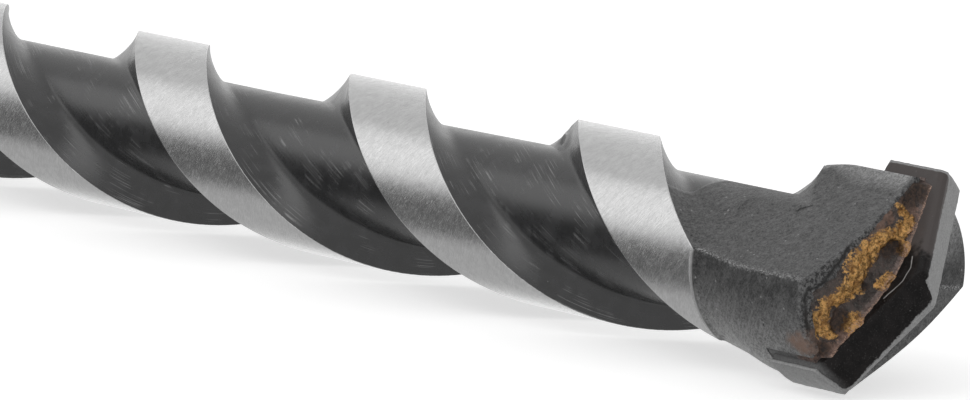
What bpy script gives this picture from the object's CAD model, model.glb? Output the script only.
"""Looks of a masonry drill bit: steel body, carbide plate, braze and a pale studio.

Lengths are in metres. The bit lies along +X with its point at +X. Angles about the
axis run from +Y towards +Z. Along the carbide plate is u, and across it is v.
"""
import math

import bmesh
import bpy
import numpy as np
from bpy.props import FloatProperty, FloatVectorProperty, PointerProperty
from mathutils import Matrix, Vector, noise


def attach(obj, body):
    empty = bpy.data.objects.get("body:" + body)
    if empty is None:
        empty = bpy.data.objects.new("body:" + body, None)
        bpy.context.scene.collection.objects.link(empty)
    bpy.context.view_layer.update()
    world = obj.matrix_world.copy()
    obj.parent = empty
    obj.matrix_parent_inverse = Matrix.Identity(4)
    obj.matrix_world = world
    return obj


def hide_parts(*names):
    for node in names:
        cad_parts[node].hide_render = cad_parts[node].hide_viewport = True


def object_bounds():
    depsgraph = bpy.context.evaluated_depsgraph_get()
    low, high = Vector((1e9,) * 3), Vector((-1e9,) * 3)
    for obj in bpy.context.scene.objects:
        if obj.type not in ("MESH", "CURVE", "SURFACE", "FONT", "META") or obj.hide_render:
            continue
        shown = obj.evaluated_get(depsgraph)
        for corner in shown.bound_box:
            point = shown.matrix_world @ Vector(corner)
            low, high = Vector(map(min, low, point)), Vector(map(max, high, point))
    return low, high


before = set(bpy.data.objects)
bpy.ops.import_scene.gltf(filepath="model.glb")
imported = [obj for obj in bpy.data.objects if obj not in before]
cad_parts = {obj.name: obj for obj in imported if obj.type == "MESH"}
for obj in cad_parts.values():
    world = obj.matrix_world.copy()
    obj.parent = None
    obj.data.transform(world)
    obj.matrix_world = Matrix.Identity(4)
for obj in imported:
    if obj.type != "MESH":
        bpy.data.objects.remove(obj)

CAD_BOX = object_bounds()

bl_info = {
    "name": "Masonry drill bit",
    "version": (1, 0, 0),
    "blender": (4, 5, 0),
    "location": "View3D > Sidebar > Drill bit",
    "description": "Builds the detailed steel body, carbide plate and braze of a masonry drill bit",
    "category": "Object",
}

MM = 0.001
HALF_TURN = math.pi


def length(name, description, default):
    """Property for a real length."""
    return FloatProperty(name=name, description=description, default=default, min=0.0, unit='LENGTH',
                         precision=5)


def angle(name, description, degrees):
    """Property for an angle, given in degrees."""
    return FloatProperty(name=name, description=description, default=math.radians(degrees),
                         subtype='ANGLE')


def fraction(name, description, default):
    """Property for a share from 0 to 1."""
    return FloatProperty(name=name, description=description, default=default, min=0.0, max=1.0,
                         subtype='FACTOR')


def colour(name, description, default):
    """Property for a linear colour."""
    return FloatVectorProperty(name=name, description=description, default=default, min=0.0, max=1.0,
                               subtype='COLOR', size=3)


class SteelSettings(bpy.types.PropertyGroup):
    """Sizes and colours of the steel body."""
    overall_length: length("Overall length", "From the shank's rear face to the chisel edge", CAD_BOX[1][0])
    shank_diameter: length("Shank diameter", "Round part that enters the chuck", 0.0100)
    shank_length: length("Shank length", "Full-diameter part of the shank", 0.042)
    shank_chamfer: length("Shank chamfer", "Chamfer around the rear face", 0.0010)
    shank_taper: length("Shank taper", "Cone between shank and neck", 0.0030)
    slot_width: length("Drive slot width", "Width of the two open slots", 0.0038)
    slot_depth: length("Drive slot depth", "Depth of the two open slots", 0.0017)
    slot_setback: length("Drive slot set-back", "From the slots' full depth to the shank's front end", 0.0008)
    slot_runout: length("Drive slot run-out", "Radius at which the open slots end", 0.0080)
    ball_diameter: length("Lock ball diameter", "Ball that shapes the closed recesses", 0.0070)
    ball_depth: length("Lock recess depth", "Depth of the closed recesses", 0.0016)
    ball_travel: length("Lock recess travel", "Distance the ball can move in its recess", 0.0130)
    ball_start: length("Lock recess start", "Ball centre's first place from the rear face", 0.0150)
    land_diameter: length("Land diameter", "Over the ground helical lands", 0.0084)
    land_angle: angle("Land angle", "Width of one land about the axis", 61.5)
    lead: length("Lead", "Advance of the helix in one turn", 0.0339)
    core_rear: length("Rear core diameter", "Flute core towards the shank", 0.0053)
    core_front: length("Front core diameter", "Flute core at the head", 0.0058)
    core_growth: length("Core growth", "Length over which the core thickens", 0.029)
    core_setback: length("Core growth set-back", "From the core's full thickness to the head", 0.00755)
    neck_length: length("Neck length", "Plain round neck between the shank's cone and the flutes", 0.014)
    flute_runout: length("Flute run-out", "Length over which the flutes reach their depth", 0.012)
    heel_fillet: angle("Heel fillet", "Angle taken by the fillet at a land's rear edge", 17.0)
    wall_run: angle("Leading wall", "Angle taken by the wall under a land's front edge", 20.0)
    head_length: length("Head length", "From the chisel edge back to the end of the ground lands", 0.01045)
    head_along: length("Head width along plate", "Head's width in line with the plate", 0.0094)
    head_across: length("Head width across plate", "Head's width square to the plate", 0.0086)
    facet_reach: length("Facet reach", "From the flat facet's start to the end of the ground lands", 0.0034)
    facet_tilt: angle("Facet tilt", "Slope at which the flat facet sinks into the flute's floor", 1.0)
    facet_depth: length("Facet depth", "Flat facet's deepest place below the flute's floor", 0.00011)
    end_slope: angle("End cone slope", "Slope of the head's conical end", 15.0)
    edge_round: length("Edge rounding", "Softness of the lands' edges", 0.00002)
    ground: colour("Ground steel", "Bright ground lands", (0.76, 0.76, 0.76))
    fluted: colour("Blackened steel", "Dark coating in the flutes", (0.016, 0.016, 0.017))
    blasted: colour("Blasted steel", "Grey blasted head", (0.19, 0.19, 0.19))


class PlateSettings(bpy.types.PropertyGroup):
    """Sizes and colours of the carbide plate."""
    direction: angle("Direction", "Direction of the plate's upper end about the axis", 50.5)
    to_land: angle("Plate to land", "From the plate to the front edge of the upper land", 118.5)
    diameter: length("Diameter", "Over the plate's round ends", 0.0104)
    thickness: length("Thickness", "Thickness of the plate", 0.0017)
    height: length("Height", "From the plate's foot to its chisel edge", 0.0057)
    proud: length("Proud", "Chisel edge beyond the steel cone's apex", 0.00165)
    shift: length("Shift", "Offset of the plate along its own direction", 0.00016)
    half_point: angle("Half point angle", "Half of the point's angle", 65.0)
    relief: angle("Relief", "Slope of the roof behind each cutting edge", 20.0)
    edge_wear: length("Edge wear", "Worn flat along each cutting edge", 0.0004)
    joint: length("Joint", "Gap that the braze fills on each side", 0.0003)
    carbide: colour("Carbide", "Clean sintered carbide", (0.36, 0.36, 0.36))
    stained: colour("Stained carbide", "Carbide darkened by flux and heat", (0.006, 0.005, 0.005))


class BrazeSettings(bpy.types.PropertyGroup):
    """Sizes and colours of the braze."""
    film: length("Film", "Mean thickness of the film on the head's end", 0.00022)
    fillet: length("Fillet", "Height of the braze against the plate", 0.00045)
    lumps: length("Lumps", "Height of the lumps", 0.00016)
    gold: colour("Braze", "Clean brass-coloured filler", (0.60, 0.345, 0.125))
    stain: colour("Stain", "Dark flux stains", (0.050, 0.038, 0.034))
    copper: colour("Copper", "Copper-red seam beside the plate", (0.34, 0.19, 0.13))


class StageSettings(bpy.types.PropertyGroup):
    """Floor, lamps and surroundings."""
    floor: colour("Floor", "Plain pale floor", (0.80, 0.80, 0.80))
    lamp_power: FloatProperty(name="Lamp power", description="Power of the large soft lamp", default=0.9,
                              min=0.0, unit='POWER')
    room: fraction("Room light", "Plain level of the light from all sides", 0.62)


def ease(value):
    """Share from 0 to 1 with a soft start and end."""
    value = np.clip(value, 0.0, 1.0)
    return value * value * (3.0 - 2.0 * value)


def blend(low, high, value):
    """Value between low and high for a share from 0 to 1."""
    return low + (high - low) * np.clip(value, 0.0, 1.0)


def soft_min(a, b, softness):
    """Smaller of two values with the corner between them rounded."""
    overlap = np.maximum(softness - np.abs(a - b), 0.0) / softness
    return np.minimum(a, b) - overlap * overlap * softness / 4


def around(turn):
    """Unit vector across the axis."""
    return Vector((0.0, math.cos(turn), math.sin(turn)))


def along_plate(plate):
    """Unit vector along the plate, towards its upper end."""
    return around(plate.direction)


def across_plate(plate):
    """Unit vector square to the plate's faces, towards the camera's side."""
    return around(plate.direction + HALF_TURN / 2)


class SteelForm:
    """The steel body's surface: a radius for each station and angle, the same after half a turn."""

    heel_power = 2.0
    wall_power = 2.7
    head_step = 0.08 * MM
    head_step_length = 0.15 * MM
    flare_start = 0.2 * MM
    flare_length = 3.6 * MM
    corner_offset = math.radians(1.5)
    widest_facet_turn = 1.45
    crowding = 1.8
    crease_margin = 0.1

    def __init__(self, steel, plate):
        self.shank_radius = steel.shank_diameter / 2
        self.shank_chamfer = steel.shank_chamfer
        self.shank_length = steel.shank_length
        self.taper = steel.shank_taper
        self.land_radius = steel.land_diameter / 2
        self.lead = steel.lead
        self.flute_start = steel.shank_length + steel.shank_taper + steel.neck_length
        self.flute_runout = steel.flute_runout
        self.core_rear = steel.core_rear / 2
        self.core_front = steel.core_front / 2
        self.head_start = steel.overall_length - steel.head_length
        self.core_growth = steel.core_growth
        self.core_growth_start = self.head_start - steel.core_setback - steel.core_growth
        self.heel_fillet = steel.heel_fillet
        self.wall_run = steel.wall_run
        self.head_mean = (steel.head_along + steel.head_across) / 4
        self.head_swing = (steel.head_along - steel.head_across) / 4
        self.apex = steel.overall_length - plate.proud
        self.slope = math.tan(steel.end_slope)
        self.edge_round = steel.edge_round
        self.plate_angle = plate.direction
        self.flute_angle = HALF_TURN - steel.land_angle
        self.head_lead = plate.direction + plate.to_land
        self.facet_start = self.head_start - steel.facet_reach
        self.facet_tilt = math.tan(steel.facet_tilt)
        self.facet_depth = steel.facet_depth
        sunk = min(self.facet_tilt * steel.facet_reach, self.facet_depth)
        self.facet_half_span = math.acos((self.core_front - sunk) / self.land_radius)
        self.facet_middle = self.head_lead - self.facet_half_span

    def outer(self, x, turn):
        """Radius outside the flutes."""
        if x <= self.shank_chamfer:
            return self.shank_radius - self.shank_chamfer + x + 0.0 * turn
        if x <= self.head_start:
            cone = (x - self.shank_length) / self.taper
            return blend(self.shank_radius, self.land_radius, cone) + 0.0 * turn
        neck = self.land_radius - self.head_step * ease((x - self.head_start) / self.head_step_length)
        head = self.head_mean + self.head_swing * np.cos(2 * (turn - self.plate_angle))
        return blend(neck, head, ease((x - self.head_start - self.flare_start) / self.flare_length))

    def core(self, x):
        """Radius of the flute floor."""
        deep = blend(self.core_rear, self.core_front, (x - self.core_growth_start) / self.core_growth)
        return blend(self.outer(x, self.head_lead), deep, ease((x - self.flute_start) / self.flute_runout))

    def facet(self, x):
        """Distance of the flat facet from the axis; it sinks slowly into the flute's floor."""
        return self.core(x) - min(self.facet_tilt * max(x - self.facet_start, 0.0), self.facet_depth)

    def facet_span(self, x, side=1.0):
        """Angle from the facet's middle to the outer radius on one side."""
        rim = self.outer(x, self.facet_middle + side * self.facet_half_span)
        return math.acos(self.facet(x) / rim)

    def facet_radius(self, x, turn):
        """Radius of the flat facet's plane."""
        return self.facet(x) / np.cos(
            np.clip(turn - self.facet_middle, -self.widest_facet_turn, self.widest_facet_turn))

    def crease(self, x):
        """Angle where the flat facet meets the round floor."""
        return self.facet_middle - math.acos(self.facet(x) / self.core(x))

    def floor(self, x, turn):
        """Radius of the flute's floor, which the flat facet replaces from its start to the end."""
        core = self.core(x) + 0.0 * turn
        if x <= self.facet_start:
            return core
        facet = self.facet_radius(x, turn)
        return np.where(turn < self.facet_middle, np.minimum(core, facet), facet)

    def lead_edge(self, x):
        """Angle of a land's front edge, which turns into the head's ridge."""
        if x <= self.head_start:
            return self.head_lead + 2 * math.pi * (max(x, self.flute_start) - self.head_start) / self.lead
        return self.facet_middle + self.facet_span(x)

    def heel_edge(self, x):
        """Angle of a land's rear edge."""
        turn = 2 * math.pi * (max(x, self.flute_start) - self.head_start) / self.lead
        return self.head_lead - self.flute_angle + turn

    def radius(self, x, turn):
        """Radius of the steel for angles in the half turn that starts just before the heel edge."""
        outer = self.outer(x, turn)
        if x <= self.flute_start:
            return outer
        core = self.core(x)
        lead = self.lead_edge(x)
        heel = (turn - self.heel_edge(x)) / self.heel_fillet
        wall = (lead - turn) / self.wall_run
        heel_radius = core + (outer - core) * np.maximum(1.0 - heel, 0.0) ** self.heel_power
        wall_height = np.maximum(outer - self.floor(x, lead), 0.0)
        wall_radius = self.floor(x, turn) + wall_height * np.maximum(1.0 - wall, 0.0) ** self.wall_power
        radius = soft_min(outer, np.maximum(heel_radius, wall_radius), self.edge_round)
        if x > self.head_start:
            radius = soft_min(radius, self.facet_radius(x, turn), self.edge_round)
        return radius

    def corner(self, x):
        """Angle just before the heel edge, where a half ring starts."""
        heel = min(self.heel_edge(x), self.facet_middle - self.heel_fillet - self.corner_offset)
        corner = heel - self.corner_offset
        if x > self.head_start:
            corner = min(corner, self.facet_middle - self.facet_span(x, side=-1.0))
        return heel, corner

    def turns(self, x):
        """Angles of one half of a ring, crowded at the edges."""
        lead = self.lead_edge(x)
        heel, corner = self.corner(x)
        near_head = ease((x - self.facet_start) / (self.head_start - self.facet_start))
        facet_span = self.facet_span(x) if x > self.head_start else self.facet_half_span
        run = blend(self.wall_run, facet_span, near_head)
        floor_start = heel + self.heel_fillet
        floor_end = lead - run
        middle = (floor_start + floor_end) / 2
        if x > self.facet_start:
            low = floor_start + self.crease_margin * (floor_end - floor_start)
            high = floor_end - self.crease_margin * (floor_end - floor_start)
            crease = min(max(self.crease(x), low), high)
            middle = blend(middle, crease, ease((x - self.facet_start) / MM))
        legs = (
            (corner, heel, 3, 'EVEN'),
            (heel, floor_start, 14, 'START'),
            (floor_start, middle, 16, 'EVEN'),
            (middle, floor_end, 16, 'EVEN'),
            (floor_end, lead, 24, 'END'),
            (lead, corner + HALF_TURN, 30, 'BOTH'),
        )
        turns = []
        for start, end, count, crowd in legs:
            t = np.arange(count) / count
            if crowd == 'START':
                t = t ** self.crowding
            elif crowd == 'END':
                t = 1.0 - (1.0 - t) ** self.crowding
            elif crowd == 'BOTH':
                t = 0.5 - 0.5 * np.cos(math.pi * t)
            turns.append(start + (end - start) * t)
        return np.concatenate(turns)

    def ring(self, turns, radii, places):
        """Points of a whole ring from the angles, radii and stations of its half."""
        points = []
        places = np.broadcast_to(places, turns.shape)
        for half in (0.0, HALF_TURN):
            for turn, radius, x in zip(turns, radii, places):
                points.append(Vector((x, radius * math.cos(turn + half), radius * math.sin(turn + half))))
        return points

    def cone_x(self, radius):
        """Station of the conical end at a radius."""
        return self.apex - self.slope * radius


def stations(*legs):
    """Stations through legs of (end, pitch), from zero."""
    found = [0.0]
    for end, pitch in legs:
        start = found[-1]
        steps = max(1, math.ceil((end - start) / pitch - 1e-6))
        found += [start + (end - start) * i / steps for i in range(1, steps + 1)]
    return found


def rough(point, size, depth=3):
    """Soft noise about zero for a point, with lumps of a given size."""
    return noise.fractal(point / size, 1.0, 2.0, depth)


def verts_of(geom):
    """Vertices among the parts that an operator made."""
    return [item for item in geom if isinstance(item, bmesh.types.BMVert)]


def edges_of(geom):
    """Edges among the parts that an operator made."""
    return [item for item in geom if isinstance(item, bmesh.types.BMEdge)]


def trim(bm, place, normal):
    """Cut off what lies past a plane and close the cut."""
    made = bmesh.ops.bisect_plane(bm, geom=bm.verts[:] + bm.edges[:] + bm.faces[:], plane_co=place,
                                  plane_no=normal, clear_outer=True)
    bmesh.ops.edgeloop_fill(bm, edges=edges_of(made["geom_cut"]))


def coordinates(mesh):
    """The x, y and z of every vertex, as three arrays."""
    flat = np.empty(len(mesh.vertices) * 3, dtype=np.float32)
    mesh.vertices.foreach_get("co", flat)
    return flat.reshape(-1, 3).T


def to_mesh(name, bm):
    """New mesh from a bmesh, which is freed."""
    mesh = bpy.data.meshes.new(name)
    bm.to_mesh(mesh)
    bm.free()
    return mesh


def link_object(name, data):
    """New object in the scene."""
    made = bpy.data.objects.new(name, data)
    bpy.context.scene.collection.objects.link(made)
    return made


def tube(rings):
    """Closed bmesh through rings of points, extruded one from the next and capped at both ends."""
    bm = bmesh.new()
    layer = bm.verts.layers.int.new("column")
    count = len(rings[0])
    start = bmesh.ops.create_circle(bm, segments=count, radius=1.0)["verts"]
    for column, vert in enumerate(start):
        vert[layer] = column
        vert.co = rings[0][column]
    edges = list(bm.edges)
    bmesh.ops.contextual_create(bm, geom=edges)
    for places in rings[1:]:
        made = bmesh.ops.extrude_edge_only(bm, edges=edges)["geom"]
        fresh = set(verts_of(made))
        for vert in fresh:
            vert.co = places[vert[layer]]
        edges = [edge for edge in edges_of(made) if edge.verts[0] in fresh and edge.verts[1] in fresh]
    bmesh.ops.contextual_create(bm, geom=edges)
    bmesh.ops.recalc_face_normals(bm, faces=bm.faces)
    return bm


def finish_piece(name, bm, material, nodes, sharp=35.0):
    """Make an object of a bmesh, at the origin, that stands for CAD nodes and rides on the bit."""
    mesh = to_mesh(name, bm)
    mesh.shade_smooth()
    mesh.set_sharp_from_angle(angle=math.radians(sharp))
    mesh.materials.append(material)
    piece = link_object(name, mesh)
    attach(piece, "root")
    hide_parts(*nodes)
    return piece


def remove_volume(bm, cutter):
    """Cut one closed bmesh with another and return the result."""
    pieces = [link_object(name, to_mesh(name, form)) for name, form in (("cut_body", bm), ("cut_tool", cutter))]
    body, tool = pieces
    modifier = body.modifiers.new("cut", 'BOOLEAN')
    modifier.operation = 'DIFFERENCE'
    modifier.solver = 'EXACT'
    modifier.object = tool
    solid = body.evaluated_get(bpy.context.evaluated_depsgraph_get())
    result = bmesh.new()
    result.from_mesh(solid.to_mesh())
    solid.to_mesh_clear()
    for piece in pieces:
        mesh = piece.data
        bpy.data.objects.remove(piece, do_unlink=True)
        bpy.data.meshes.remove(mesh)
    return result


def prism(bm, points, offset):
    """Closed prism from an outline and an offset, added to a bmesh."""
    base = bmesh.ops.contextual_create(bm, geom=[bm.verts.new(point) for point in points])["faces"]
    grown = bmesh.ops.extrude_face_region(bm, geom=base)["geom"]
    bmesh.ops.translate(bm, verts=verts_of(grown), vec=offset)


def drive_slots(steel):
    """Closed form of the two open slots, with a round run-out."""
    bm = bmesh.new()
    clear = 2 * MM
    steps = 12
    floor = steel.shank_diameter / 2 - steel.slot_depth
    top = steel.shank_diameter / 2 + clear
    sweep = math.acos(1.0 - (top - floor) / steel.slot_runout)
    for side in (1.0, -1.0):
        outline = [(-clear, top), (-clear, floor)]
        for i in range(steps + 1):
            turn = sweep * i / steps
            runout = steel.shank_length - steel.slot_setback + steel.slot_runout * math.sin(turn)
            outline.append((runout, floor + steel.slot_runout * (1.0 - math.cos(turn))))
        points = [Vector((x, -steel.slot_width / 2, side * z)) for x, z in outline]
        prism(bm, points, Vector((0.0, steel.slot_width, 0.0)))
    bmesh.ops.recalc_face_normals(bm, faces=bm.faces)
    return bm


def lock_recesses(steel):
    """Closed form of the two closed recesses, each a ball drawn out between two of its rings."""
    bm = bmesh.new()
    radius = steel.ball_diameter / 2
    reach = steel.shank_diameter / 2 - steel.ball_depth + radius
    for side in (1.0, -1.0):
        made = bmesh.ops.create_uvsphere(bm, u_segments=48, v_segments=25, radius=radius)
        for vert in made["verts"]:
            across, height, along = vert.co
            travel = steel.ball_travel if along > 0.0 else 0.0
            vert.co = Vector((steel.ball_start + travel + along, side * reach + across, height))
    return bm


def plate_point(plate, x, u, v):
    """Point in the plate's own directions."""
    return Vector((x, 0.0, 0.0)) + along_plate(plate) * u + across_plate(plate) * v


def plate_slot(steel, plate):
    """Closed form of the slot across the head."""
    bm = bmesh.new()
    rear = steel.overall_length - plate.height - plate.joint
    half = plate.thickness / 2 + plate.joint
    corners = ((-1, -1), (1, -1), (1, 1), (-1, 1))
    points = [plate_point(plate, rear, u * plate.diameter, v * half) for u, v in corners]
    prism(bm, points, Vector((plate.height + 4 * MM, 0.0, 0.0)))
    bmesh.ops.recalc_face_normals(bm, faces=bm.faces)
    return bm


# Materials

def node_group(name, inputs, outputs):
    """New shader node group with named sockets, and its input and output nodes."""
    group = bpy.data.node_groups.new(name, 'ShaderNodeTree')
    for label, kind, value in inputs:
        socket = group.interface.new_socket(name=label, in_out='INPUT', socket_type=kind)
        if value is not None:
            socket.default_value = value
    for label, kind in outputs:
        group.interface.new_socket(name=label, in_out='OUTPUT', socket_type=kind)
    source = group.nodes.new('NodeGroupInput')
    source.location = (-900, 0)
    sink = group.nodes.new('NodeGroupOutput')
    sink.location = (600, 0)
    return group, source, sink


class Graph:
    """Short way to add nodes to a tree, each a column further to the right."""

    def __init__(self, tree):
        self.tree = tree
        self.column = 0

    def add(self, kind, inputs=None, **values):
        """Add a node, set its properties and link or set its inputs."""
        node = self.tree.nodes.new(kind)
        node.location = (-700 + 180 * (self.column % 8), 300 - 220 * (self.column // 8))
        self.column += 1
        for key, value in values.items():
            setattr(node, key, value)
        self.feed(node, inputs or {})
        return node

    def feed(self, node, inputs):
        """Link a node's inputs, or set their values."""
        for key, value in inputs.items():
            if isinstance(value, bpy.types.NodeSocket):
                self.tree.links.new(value, node.inputs[key])
            else:
                node.inputs[key].default_value = value

    def math(self, operation, a, b=0.0, clamp=False):
        """Math node's result."""
        return self.add('ShaderNodeMath', {0: a, 1: b}, operation=operation, use_clamp=clamp).outputs[0]

    def times(self, a, b, clamp=False):
        """Product of two numbers."""
        return self.math('MULTIPLY', a, b, clamp)

    def plus(self, a, b):
        """Sum of two numbers."""
        return self.math('ADD', a, b)

    def minus(self, a, b, clamp=False):
        """First number less the second."""
        return self.math('SUBTRACT', a, b, clamp)

    def most(self, a, b):
        """Larger of two numbers."""
        return self.math('MAXIMUM', a, b)

    def remap(self, value, low, high, new_low=0.0, new_high=1.0, smooth=True):
        """Value moved from one range to another, clamped."""
        kind = 'SMOOTHSTEP' if smooth else 'LINEAR'
        return self.add('ShaderNodeMapRange', {0: value, 1: low, 2: high, 3: new_low, 4: new_high},
                        interpolation_type=kind).outputs[0]

    def mix(self, factor, a, b):
        """Colour between two colours."""
        a, b = (value if isinstance(value, bpy.types.NodeSocket) else (*value, 1.0) for value in (a, b))
        return self.add('ShaderNodeMix', {0: factor, 6: a, 7: b}, data_type='RGBA').outputs[2]

    def tint(self, value, low, high, a, b, share=1.0):
        """Colour that turns from a towards b as the value rises from low to high."""
        return self.mix(self.remap(value, low, high, 0.0, share), a, b)

    def sway(self, value, amount, low=0.3, high=0.7):
        """Noise made a shift of up to an amount both ways."""
        return self.remap(value, low, high, -amount, amount, smooth=False)

    def mixf(self, factor, a, b):
        """Number between two numbers."""
        return self.add('ShaderNodeMix', {0: factor, 2: a, 3: b}, data_type='FLOAT').outputs[0]

    def attribute(self, name):
        """Number stored on the mesh."""
        return self.add('ShaderNodeAttribute', attribute_name=name).outputs['Fac']

    def noise(self, vector, size, detail=3.0, roughness=0.55, distortion=0.0):
        """Noise with lumps of a given size in millimetres."""
        return self.add('ShaderNodeTexNoise', {'Vector': vector, 'Scale': 1.0 / (size * MM), 'Detail': detail,
                                               'Roughness': roughness, 'Distortion': distortion}).outputs[0]

    def group(self, group, inputs):
        """Node group with its inputs set or linked."""
        return self.add('ShaderNodeGroup', inputs, node_tree=group)

    def vectors(self, operation, a, b):
        """Outputs of a vector math node; when it scales, the second input is a number."""
        second = 'Scale' if operation == 'SCALE' else 1
        return self.add('ShaderNodeVectorMath', {0: a, second: b}, operation=operation).outputs

    def bump(self, height, strength, distance):
        """Normal from a height."""
        return self.add('ShaderNodeBump', {'Strength': strength, 'Distance': distance,
                                           'Height': height}).outputs[0]


def specks_group():
    """Scattered round specks as a mask."""
    group, source, sink = node_group("Specks", (
        ("Vector", 'NodeSocketVector', None), ("Spacing mm", 'NodeSocketFloat', 0.3),
        ("Size", 'NodeSocketFloat', 0.2), ("Amount", 'NodeSocketFloat', 0.3)), (("Mask", 'NodeSocketFloat'),))
    g = Graph(group)
    scale = g.math('DIVIDE', 1.0 / MM, source.outputs["Spacing mm"])
    cells = g.add('ShaderNodeTexVoronoi', {'Vector': source.outputs["Vector"], 'Scale': scale})
    near = g.remap(cells.outputs['Distance'], source.outputs["Size"], 0.0)
    chance = g.add('ShaderNodeSeparateColor', {0: cells.outputs['Color']}).outputs[0]
    picked = g.math('LESS_THAN', chance, source.outputs["Amount"])
    group.links.new(g.times(near, picked), sink.inputs["Mask"])
    return group


def specks(g, vector, spacing, size, amount):
    """Mask of scattered specks; their size is a share of the spacing, and the amount a share of all."""
    return g.group(shared_group("Specks", specks_group), {
        "Vector": vector, "Spacing mm": spacing, "Size": size, "Amount": amount}).outputs["Mask"]


WAVES_PER_METRE = 2500.0


def stroke_group():
    """Thin wavering line between two points as a mask, for cracks and scratches."""
    group, source, sink = node_group("Stroke", (
        ("Vector", 'NodeSocketVector', None), ("Start", 'NodeSocketVector', None),
        ("End", 'NodeSocketVector', None), ("Width mm", 'NodeSocketFloat', 0.05),
        ("Waver mm", 'NodeSocketFloat', 0.1)), (("Mask", 'NodeSocketFloat'),))
    g = Graph(group)
    wave = g.add('ShaderNodeTexNoise', {'Vector': source.outputs["Vector"], 'Scale': WAVES_PER_METRE,
                                        'Detail': 3.0})
    centred = g.vectors('SUBTRACT', wave.outputs['Color'], (0.5, 0.5, 0.5))[0]
    waver = g.times(source.outputs["Waver mm"], 2 * MM)
    moved = g.vectors('SCALE', centred, waver)[0]
    place = g.vectors('ADD', source.outputs["Vector"], moved)[0]
    from_start = g.vectors('SUBTRACT', place, source.outputs["Start"])[0]
    run = g.vectors('SUBTRACT', source.outputs["End"], source.outputs["Start"])[0]
    dot = g.vectors('DOT_PRODUCT', from_start, run)['Value']
    size = g.vectors('DOT_PRODUCT', run, run)['Value']
    along = g.math('DIVIDE', dot, size, clamp=True)
    nearest = g.vectors('SCALE', run, along)[0]
    away = g.vectors('DISTANCE', from_start, nearest)['Value']
    width = g.times(source.outputs["Width mm"], MM)
    group.links.new(g.remap(away, width, 0.0), sink.inputs["Mask"])
    return group


def helix_lines_group():
    """Noise drawn out along a helix about the bit's axis, as left by grinding or milling."""
    group, source, sink = node_group("Helix lines", (
        ("Vector", 'NodeSocketVector', None), ("Lead mm", 'NodeSocketFloat', 33.9),
        ("Size mm", 'NodeSocketFloat', 0.06), ("Stretch", 'NodeSocketFloat', 8.0),
        ("Detail", 'NodeSocketFloat', 3.0)), (("Value", 'NodeSocketFloat'),))
    g = Graph(group)
    station = g.add('ShaderNodeSeparateXYZ', {0: source.outputs["Vector"]}).outputs[0]
    lead = g.times(source.outputs["Lead mm"], -MM / (2 * math.pi))
    turn = g.math('DIVIDE', station, lead)
    straight = g.add('ShaderNodeVectorRotate', {'Vector': source.outputs["Vector"], 'Angle': turn},
                     rotation_type='X_AXIS')
    shorter = g.math('DIVIDE', 1.0, source.outputs["Stretch"])
    drawn = g.add('ShaderNodeCombineXYZ', {0: shorter, 1: 1.0, 2: 1.0}).outputs[0]
    place = g.vectors('MULTIPLY', straight.outputs[0], drawn)[0]
    scale = g.math('DIVIDE', 1.0 / MM, source.outputs["Size mm"])
    lines = g.add('ShaderNodeTexNoise', {'Vector': place, 'Scale': scale,
                                         'Detail': source.outputs["Detail"], 'Roughness': 0.6})
    group.links.new(lines.outputs[0], sink.inputs["Value"])
    return group


def shared_group(name, build):
    """The named node group, built once."""
    return bpy.data.node_groups.get(name) or build()


def new_material(name):
    """Material with a Principled shader, its graph and its coordinates."""
    material = bpy.data.materials.new(name)
    material.use_nodes = True
    g = Graph(material.node_tree)
    shader = material.node_tree.nodes["Principled BSDF"]
    shader.location = (1100, 0)
    material.node_tree.nodes["Material Output"].location = (1400, 0)
    vector = g.add('ShaderNodeTexCoord').outputs['Object']
    return material, g, shader, vector


def scaled(colour_value, factor):
    """Colour made darker or lighter."""
    return tuple(min(1.0, factor * c) for c in colour_value)


def spread(g, value, low, high, colour_value, darkest, lightest):
    """Colour that varies with a value, from a darker to a lighter one."""
    return g.tint(value, low, high, scaled(colour_value, darkest), scaled(colour_value, lightest))


def chain(points, width, waver):
    """Strokes from each point to the next."""
    return [(start, end, width, waver) for start, end in zip(points, points[1:])]


def strokes(g, vector, marks):
    """Mask of several thin strokes, each from a start to an end with a width in millimetres."""
    mask = None
    for start, end, width, waver in marks:
        stroke = g.group(shared_group("Stroke", stroke_group), {
            "Vector": vector, "Start": Vector(start) * MM, "End": Vector(end) * MM, "Width mm": width,
            "Waver mm": waver}).outputs["Mask"]
        mask = stroke if mask is None else g.most(mask, stroke)
    return mask


# Colours of the steel's wear and dirt
CHIPPED_STEEL = (0.62, 0.62, 0.62)
POCK = (0.015, 0.015, 0.015)
FACET_CRACK = (0.010, 0.010, 0.010)
UNDER_RIDGE = (0.030, 0.030, 0.031)
CRUMB_HOLLOW = (0.012, 0.012, 0.013)
CRUMB = (0.18, 0.18, 0.18)
CRUMB_GLINT = (0.40, 0.40, 0.40)
END_GAP = (0.004, 0.004, 0.004)
COPPER_TINT = (0.30, 0.19, 0.14)

# Colours of the plate's stains and wear
STAIN_GRAIN = (0.085, 0.082, 0.080)
BROWN_STAIN = (0.092, 0.080, 0.077)
PLATE_GLINT = (0.42, 0.41, 0.40)
GREY_DARK = (0.09, 0.09, 0.09)
PLATE_GREY = (0.19, 0.19, 0.19)

# Colours of the braze's film, seam, runs and pockets
FILM_LUMP = (0.085, 0.080, 0.074)
FILM_GLINT = (0.30, 0.26, 0.24)
SEAM_DARK = (0.10, 0.068, 0.060)
SEAM_LIGHT = (0.24, 0.185, 0.165)
SEAM_LINE = (0.55, 0.36, 0.27)
TARNISH = (0.26, 0.135, 0.055)
BRASS_GLINT = (0.92, 0.68, 0.46)
POCKET_DARK = (0.012, 0.008, 0.007)
POCKET_LIGHT = (0.085, 0.050, 0.034)
BRAZE_GREY = (0.20, 0.20, 0.20)

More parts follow.
